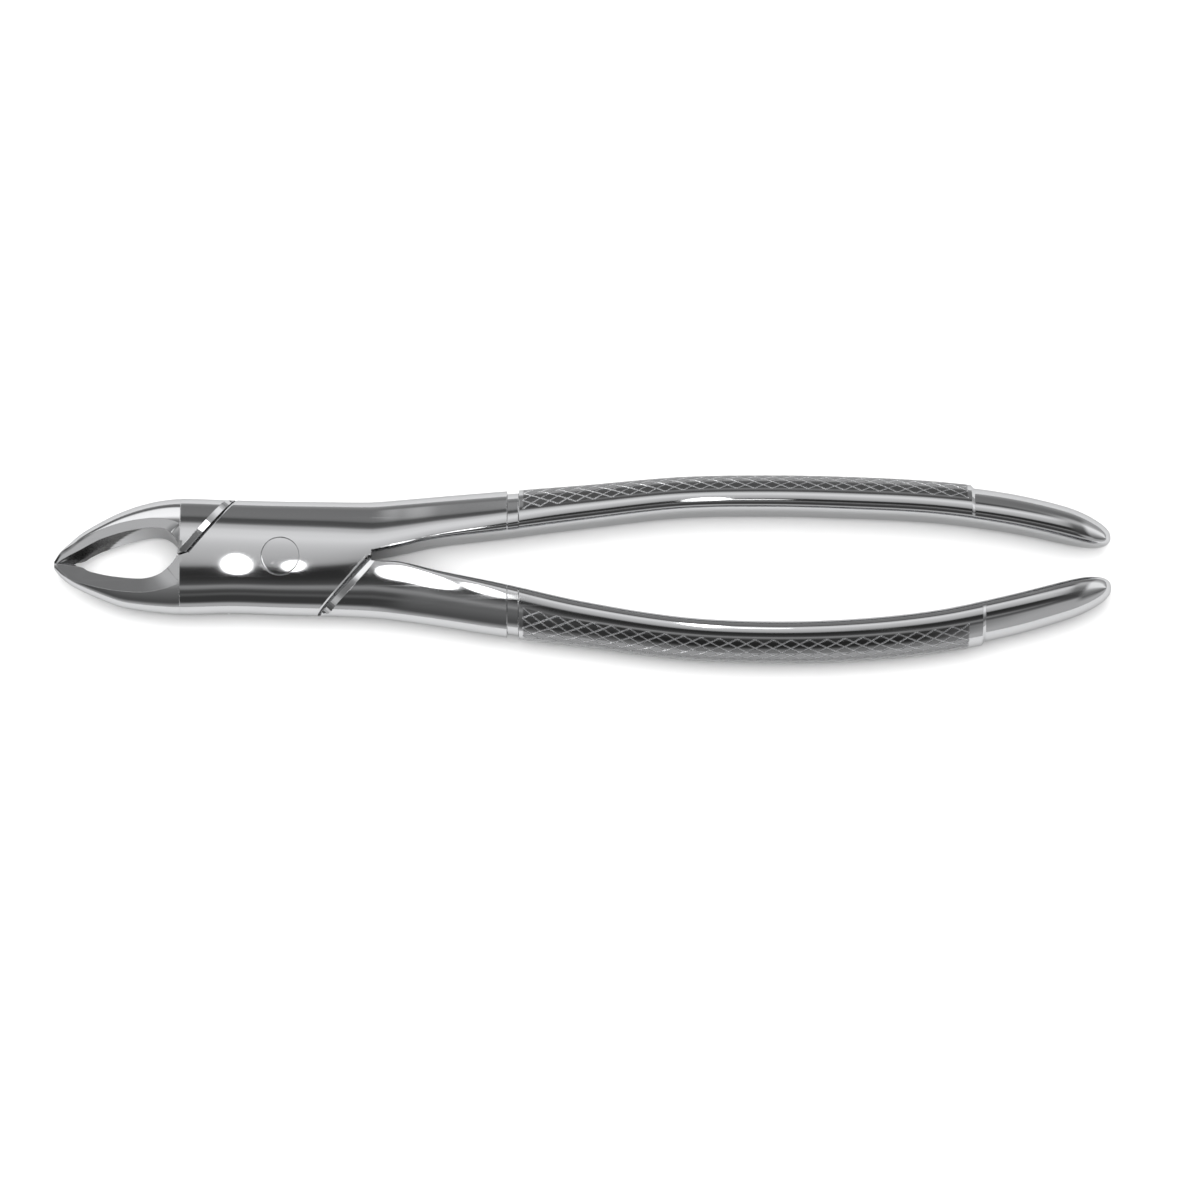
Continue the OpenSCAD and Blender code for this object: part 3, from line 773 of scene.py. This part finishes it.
def ramp(tree, source, stops):
    n = node(tree, "ShaderNodeValToRGB")
    elements = n.color_ramp.elements
    while len(elements) < len(stops):
        elements.new(0.5)
    for element, (at, value) in zip(elements, stops):
        element.position = at
        element.color = (value, value, value, 1)
    feed(tree, n.inputs["Fac"], source)
    return n.outputs["Color"]


def map_range(tree, value, **settings):
    n = node(tree, "ShaderNodeMapRange", **settings)
    feed(tree, n.inputs["Value"], value)
    return n.outputs["Result"]


def noise(tree, scale, detail, stretch, turn=0.0):
    """Noise in the piece's own space; a small stretch draws it out along that axis."""
    mapping = node(tree, "ShaderNodeMapping", Scale=stretch, Rotation=(0, 0, turn))
    feed(tree, mapping.inputs["Vector"], node(tree, "ShaderNodeTexCoord").outputs["Object"])
    n = node(tree, "ShaderNodeTexNoise", Scale=scale, Detail=detail)
    feed(tree, n.inputs["Vector"], mapping.outputs["Vector"])
    return n.outputs["Fac"]


def attribute(tree, name):
    return node(tree, "ShaderNodeAttribute", attribute_name=name).outputs["Fac"]


# ---------------------------------------------------------------- steel
LEVER_COLOUR, LEVER_ROUGH = (0.46, 0.463, 0.47), 0.05
RIVET_COLOUR, RIVET_ROUGH = (0.44, 0.443, 0.45), 0.06
SPECULAR_TINT = (0.6, 0.6, 0.6, 1)
# Shares of the base colour: where smudged, on the knurl's lands as painted shade, and in its grooves as a
# painted highlight.
SMUDGE_SHADE = 0.93
LAND_PAINTED_SHADE = 0.42
GROOVE_PAINTED_HIGHLIGHT = 1.5
GROOVE_HIGHLIGHT_STOPS = [(0.03, 0), (0.35, 1)]             # how a groove's painted highlight starts from the groove value
JAW_SHADE_STOPS = [(0.35, 0.06), (0.65, 0.14)]      # painted shade: the dark colour of the rough gripping walls, by the noise there
WORN_STOPS = [(0.0, 0), (0.52, 0), (0.58, 1), (1.0, 1)]     # by pointiness: 1 on outer edges
# What each finish adds to the roughness.
SMUDGE_ROUGH = 0.05
SCRATCH_ROUGH = 0.08
WORN_ROUGH = 0.06
JAW_ROUGH = 0.3
GROOVE_ROUGH = 0.45
SCRATCH_DEPTH = -0.5            # against the polish marks' 1
# Noise: scale, detail, stretch and turn.
EVEN = (1, 1, 1)
SMUDGE = (60, 3, EVEN)
BLAST = (4000, 2, EVEN)
POLISH = (900, 2, (0.12, 1, 1), 0.06)
SCRATCHES = ((700, 0.5, 0.66), (600, -0.35, 0.67))      # scale, turn, and the noise above which one shows
SCRATCH_STRETCH = (0.02, 1, 0.4)
SCRATCH_EDGE = 0.04
BUMP_STRENGTH, BUMP_DISTANCE = 0.05, 0.02
EDGE_RADIUS = 0.12


def shade(base, share):
    return (*[c * share for c in base], 1)


def scratched(tree, scale, turn, rare):
    """Fine scratches that all run one way."""
    lines = noise(tree, scale, 1, SCRATCH_STRETCH, turn)
    return ramp(tree, lines, [(0.0, 0), (rare, 0), (rare + SCRATCH_EDGE, 1), (1.0, 1)])


def steel_colour(tree, base, smudge, jaw, groove):
    """Smudged steel; matt gripping walls and knurl lands darkened as painted shade, grooves lit as a painted
    highlight.
    """
    colour = mixed(tree, smudge, shade(base, SMUDGE_SHADE), shade(base, 1))
    # Painted shade: the gripping walls take a dark, mottled colour.
    colour = mixed(tree, jaw, colour, ramp(tree, noise(tree, *BLAST), JAW_SHADE_STOPS))
    # Painted shade on the knurl's lands, and a painted highlight in its grooves.
    line = ramp(tree, groove, GROOVE_HIGHLIGHT_STOPS)
    lands = maths(tree, "SUBTRACT", attribute(tree, "knurl"), line, clamp=True)
    colour = mixed(tree, lands, colour, shade(base, LAND_PAINTED_SHADE))
    return mixed(tree, line, colour, shade(base, GROOVE_PAINTED_HIGHLIGHT))


def steel_roughness(tree, rough, smudge, scratches, jaw, groove):
    geometry = node(tree, "ShaderNodeNewGeometry")
    worn = ramp(tree, geometry.outputs["Pointiness"], WORN_STOPS)
    total = map_range(tree, smudge, **{"To Min": rough, "To Max": rough + SMUDGE_ROUGH})
    for finish, amount in ((scratches, SCRATCH_ROUGH), (worn, WORN_ROUGH), (jaw, JAW_ROUGH)):
        total = maths(tree, "MULTIPLY_ADD", finish, amount, total)
    return maths(tree, "MULTIPLY_ADD", groove, GROOVE_ROUGH, total, clamp=True)


def steel_normal(tree, scratches):
    """Fine polish marks and scratches, on edges that look slightly rounded."""
    polish = noise(tree, *POLISH)
    edge = node(tree, "ShaderNodeBevel", samples=4, Radius=EDGE_RADIUS * MM)
    bump = node(tree, "ShaderNodeBump", Strength=BUMP_STRENGTH, Distance=BUMP_DISTANCE * MM)
    feed(tree, bump.inputs["Height"], maths(tree, "MULTIPLY_ADD", scratches, SCRATCH_DEPTH, polish))
    feed(tree, bump.inputs["Normal"], edge.outputs["Normal"])
    return bump.outputs["Normal"]


def steel(name, base, rough):
    mat = bpy.data.materials.new(name)
    mat.use_nodes = True
    tree = mat.node_tree
    inputs = tree.nodes["Principled BSDF"].inputs
    inputs["Metallic"].default_value = 1.0
    inputs["Specular Tint"].default_value = SPECULAR_TINT
    smudge = noise(tree, *SMUDGE)
    jaw, groove = attribute(tree, "jaw"), attribute(tree, "groove")
    scratches = maths(tree, "ADD", *(scratched(tree, *numbers) for numbers in SCRATCHES))
    feed(tree, inputs["Base Color"], steel_colour(tree, base, smudge, jaw, groove))
    feed(tree, inputs["Roughness"], steel_roughness(tree, rough, smudge, scratches, jaw, groove))
    feed(tree, inputs["Normal"], steel_normal(tree, scratches))
    return mat


# ---------------------------------------------------------------- pieces
lever_steel = steel("lever_steel", LEVER_COLOUR, LEVER_ROUGH)
rivet_steel = steel("rivet_steel", RIVET_COLOUR, RIVET_ROUGH)
for side, cad_node, body in ((1, "front_lever", "front"), (-1, "back_lever", "back")):
    piece = build_lever(cad_node + "_forging", side)
    piece.data.materials.clear()
    piece.data.materials.append(lever_steel)
    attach(piece, body)
    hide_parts(cad_node)
rivet = build_rivet()
rivet.data.materials.append(rivet_steel)
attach(rivet, "front")
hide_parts("pivot_rivet")


# ---------------------------------------------------------------- studio
FLOOR_HALF = 1600
KEY_PLACE, KEY_TARGET = (0.0, 0.1, 1.2), (0.04, 0, 0)      # metres
KEY_SIZE = 1.2
KEY_POWER = 20

# Brightness of the room by direction: degrees from straight up, towards the front (+) or the back (-).
ROOM = [(-180, 0.8), (-100, 0.8), (-91, 0.7), (-80, 0.42), (-72, 0.34), (-48, 0.36), (-45, 0.3),
        (-43, 0.13), (-38, 0.16), (-36, 0.25), (-34, 0.9), (-31, 1.05), (-28.5, 1.35), (-22, 1.45),
        (-16, 1.15), (-10, 0.95), (-4, 0.75), (-1, 0.5), (0.5, 0.08), (5, 0.04), (12, 0.06), (18, 0.13),
        (21, 0.5), (24, 0.42), (27, 0.16), (31, 0.1), (36, 0.2), (42, 0.08), (58, 0.08), (64, 0.2),
        (71, 0.7), (80, 0.8)]
# The same towards the tool's beak end and its handle end.
ROOM_LEFT = [(-180, 0.8), (-95, 0.8), (-86, 0.45), (-78, 0.2), (-74, 0.3), (-69, 1.9), (-47, 2.1),
             (-42, 0.45), (-36, 0.34), (-24, 0.36), (-17, 0.5), (-8, 0.9), (12, 0.9), (18, 0.6),
             (26, 0.32), (35, 0.25), (45, 0.2), (56, 0.15), (66, 0.15), (75, 0.4), (86, 0.75), (180, 0.8)]
ROOM_RIGHT = [(-180, 0.85), (-92, 0.8), (-80, 0.5), (-66, 0.3), (-54, 0.28), (-46, 0.7), (-38, 0.95),
              (-28, 0.8), (-20, 0.5), (-12, 0.3), (-2, 0.15), (10, 0.1), (25, 0.12), (31, 0.3), (37, 0.7),
              (60, 0.75), (180, 0.85)]
# And low down beyond the handle end.
ROOM_FAR_RIGHT = [(-180, 0.8), (-92, 0.8), (-66, 0.6), (-46, 1.0), (-34, 1.7), (-16, 1.6), (-6, 1.0),
                  (3, 0.66), (12, 0.5), (20, 0.36), (31, 0.3), (38, 0.2), (46, 0.4), (62, 0.8), (180, 0.85)]
# Each part of the room, and where along X of the direction it fades in.
ROOM_ENDS = ((ROOM_LEFT, -0.09, -0.2), (ROOM_RIGHT, 0.15, 0.35), (ROOM_FAR_RIGHT, 0.5, 0.64))

# Small lamps close above the tool: place in millimetres, length along and across, brightness.
LAMPS = [((-10.1, -0.5, 50), 5.6, 16, 5.0), ((0.6, -1.0, 50), 4.6, 9, 5.0), ((20.3, -5.0, 50), 12.5, 17, 5.0),
         ((31.5, -4.5, 50), 8, 12, 5.0), ((71.5, 7.0, 50), 8, 17, 5.0), ((78, 4.0, 50), 16, 4, 3.0)]

ELEVATION = math.radians(80)    # the photograph's viewing angle
LENS, SENSOR = 184, 36
CAMERA_TARGET = (51.24, -4.96)  # millimetres, at the joint's mid height
CAMERA_DISTANCE = 1.0           # metres


def add_object(name, data):
    obj = bpy.data.objects.new(name, data)
    bpy.context.scene.collection.objects.link(obj)
    return obj


def floor():
    corners = [[x * FLOOR_HALF, y * FLOOR_HALF, 0] for x, y in ((-1, -1), (1, -1), (1, 1), (-1, 1))]
    obj = make_mesh("floor", corners, [(0, 1, 2, 3)])
    mat = bpy.data.materials.new("floor")
    mat.use_nodes = True
    shader = mat.node_tree.nodes["Principled BSDF"]
    shader.inputs["Base Color"].default_value = (0.9, 0.9, 0.9, 1)
    shader.inputs["Roughness"].default_value = 0.9
    shader.inputs["Specular IOR Level"].default_value = 0.0
    obj.data.materials.append(mat)


def studio_world():
    """A room of soft bands of light, by the direction that the tool reflects."""
    world = bpy.data.worlds.new("studio")
    bpy.context.scene.world = world
    world.use_nodes = True
    tree = world.node_tree
    split = node(tree, "ShaderNodeSeparateXYZ")
    feed(tree, split.inputs[0], node(tree, "ShaderNodeTexCoord").outputs["Generated"])
    front = maths(tree, "MULTIPLY", split.outputs["Y"], -1)
    angle = maths(tree, "ARCTAN2", front, split.outputs["Z"])
    turn = maths(tree, "MULTIPLY_ADD", angle, 1 / (2 * math.pi), 0.5)

    def bands(room):
        return ramp(tree, turn, [((degrees + 180) / 360, value) for degrees, value in room])

    total = bands(ROOM)
    for room, start, end in ROOM_ENDS:
        share = map_range(tree, split.outputs["X"], interpolation_type="SMOOTHSTEP",
                          **{"From Min": start, "From Max": end})
        total = mixed(tree, share, total, bands(room))
    feed(tree, tree.nodes["Background"].inputs["Color"], total)
    tree.nodes["Background"].inputs["Strength"].default_value = 1.0


def key_light():
    """A broad soft light on the floor, which the steel doesn't reflect."""
    data = bpy.data.lights.new("key", "AREA")
    data.shape = "RECTANGLE"
    data.size, data.size_y = KEY_SIZE, KEY_SIZE
    data.energy = KEY_POWER
    obj = add_object("key", data)
    obj.location = KEY_PLACE
    obj.rotation_euler = (Vector(KEY_TARGET) - Vector(KEY_PLACE)).to_track_quat("-Z", "Y").to_euler()
    obj.visible_glossy = False


def small_lamps():
    """Lamps that show only as glints in the steel; the energy gives an ellipse the brightness asked for."""
    for i, (place, along, across, bright) in enumerate(LAMPS):
        light = bpy.data.lights.new(f"lamp_{i}", "AREA")
        light.shape = "ELLIPSE"
        light.size, light.size_y = along * MM, across * MM
        light.energy = bright * math.pi * math.pi / 4 * light.size * light.size_y
        obj = add_object(light.name, light)
        obj.location = [c * MM for c in place]
        obj.visible_diffuse = False
        obj.visible_camera = False


def camera():
    data = bpy.data.cameras.new("camera")
    data.lens = LENS
    data.sensor_width = SENSOR
    data.clip_start = 0.01
    obj = add_object("camera", data)
    target = Vector((CAMERA_TARGET[0] * MM, CAMERA_TARGET[1] * MM, mid_z * MM))
    obj.location = target + CAMERA_DISTANCE * Vector((0, -math.cos(ELEVATION), math.sin(ELEVATION)))
    obj.rotation_euler = (math.radians(90) - ELEVATION, 0, 0)
    bpy.context.scene.camera = obj


floor()
studio_world()
key_light()
small_lamps()
camera()
bpy.context.scene.view_settings.view_transform = "Standard"
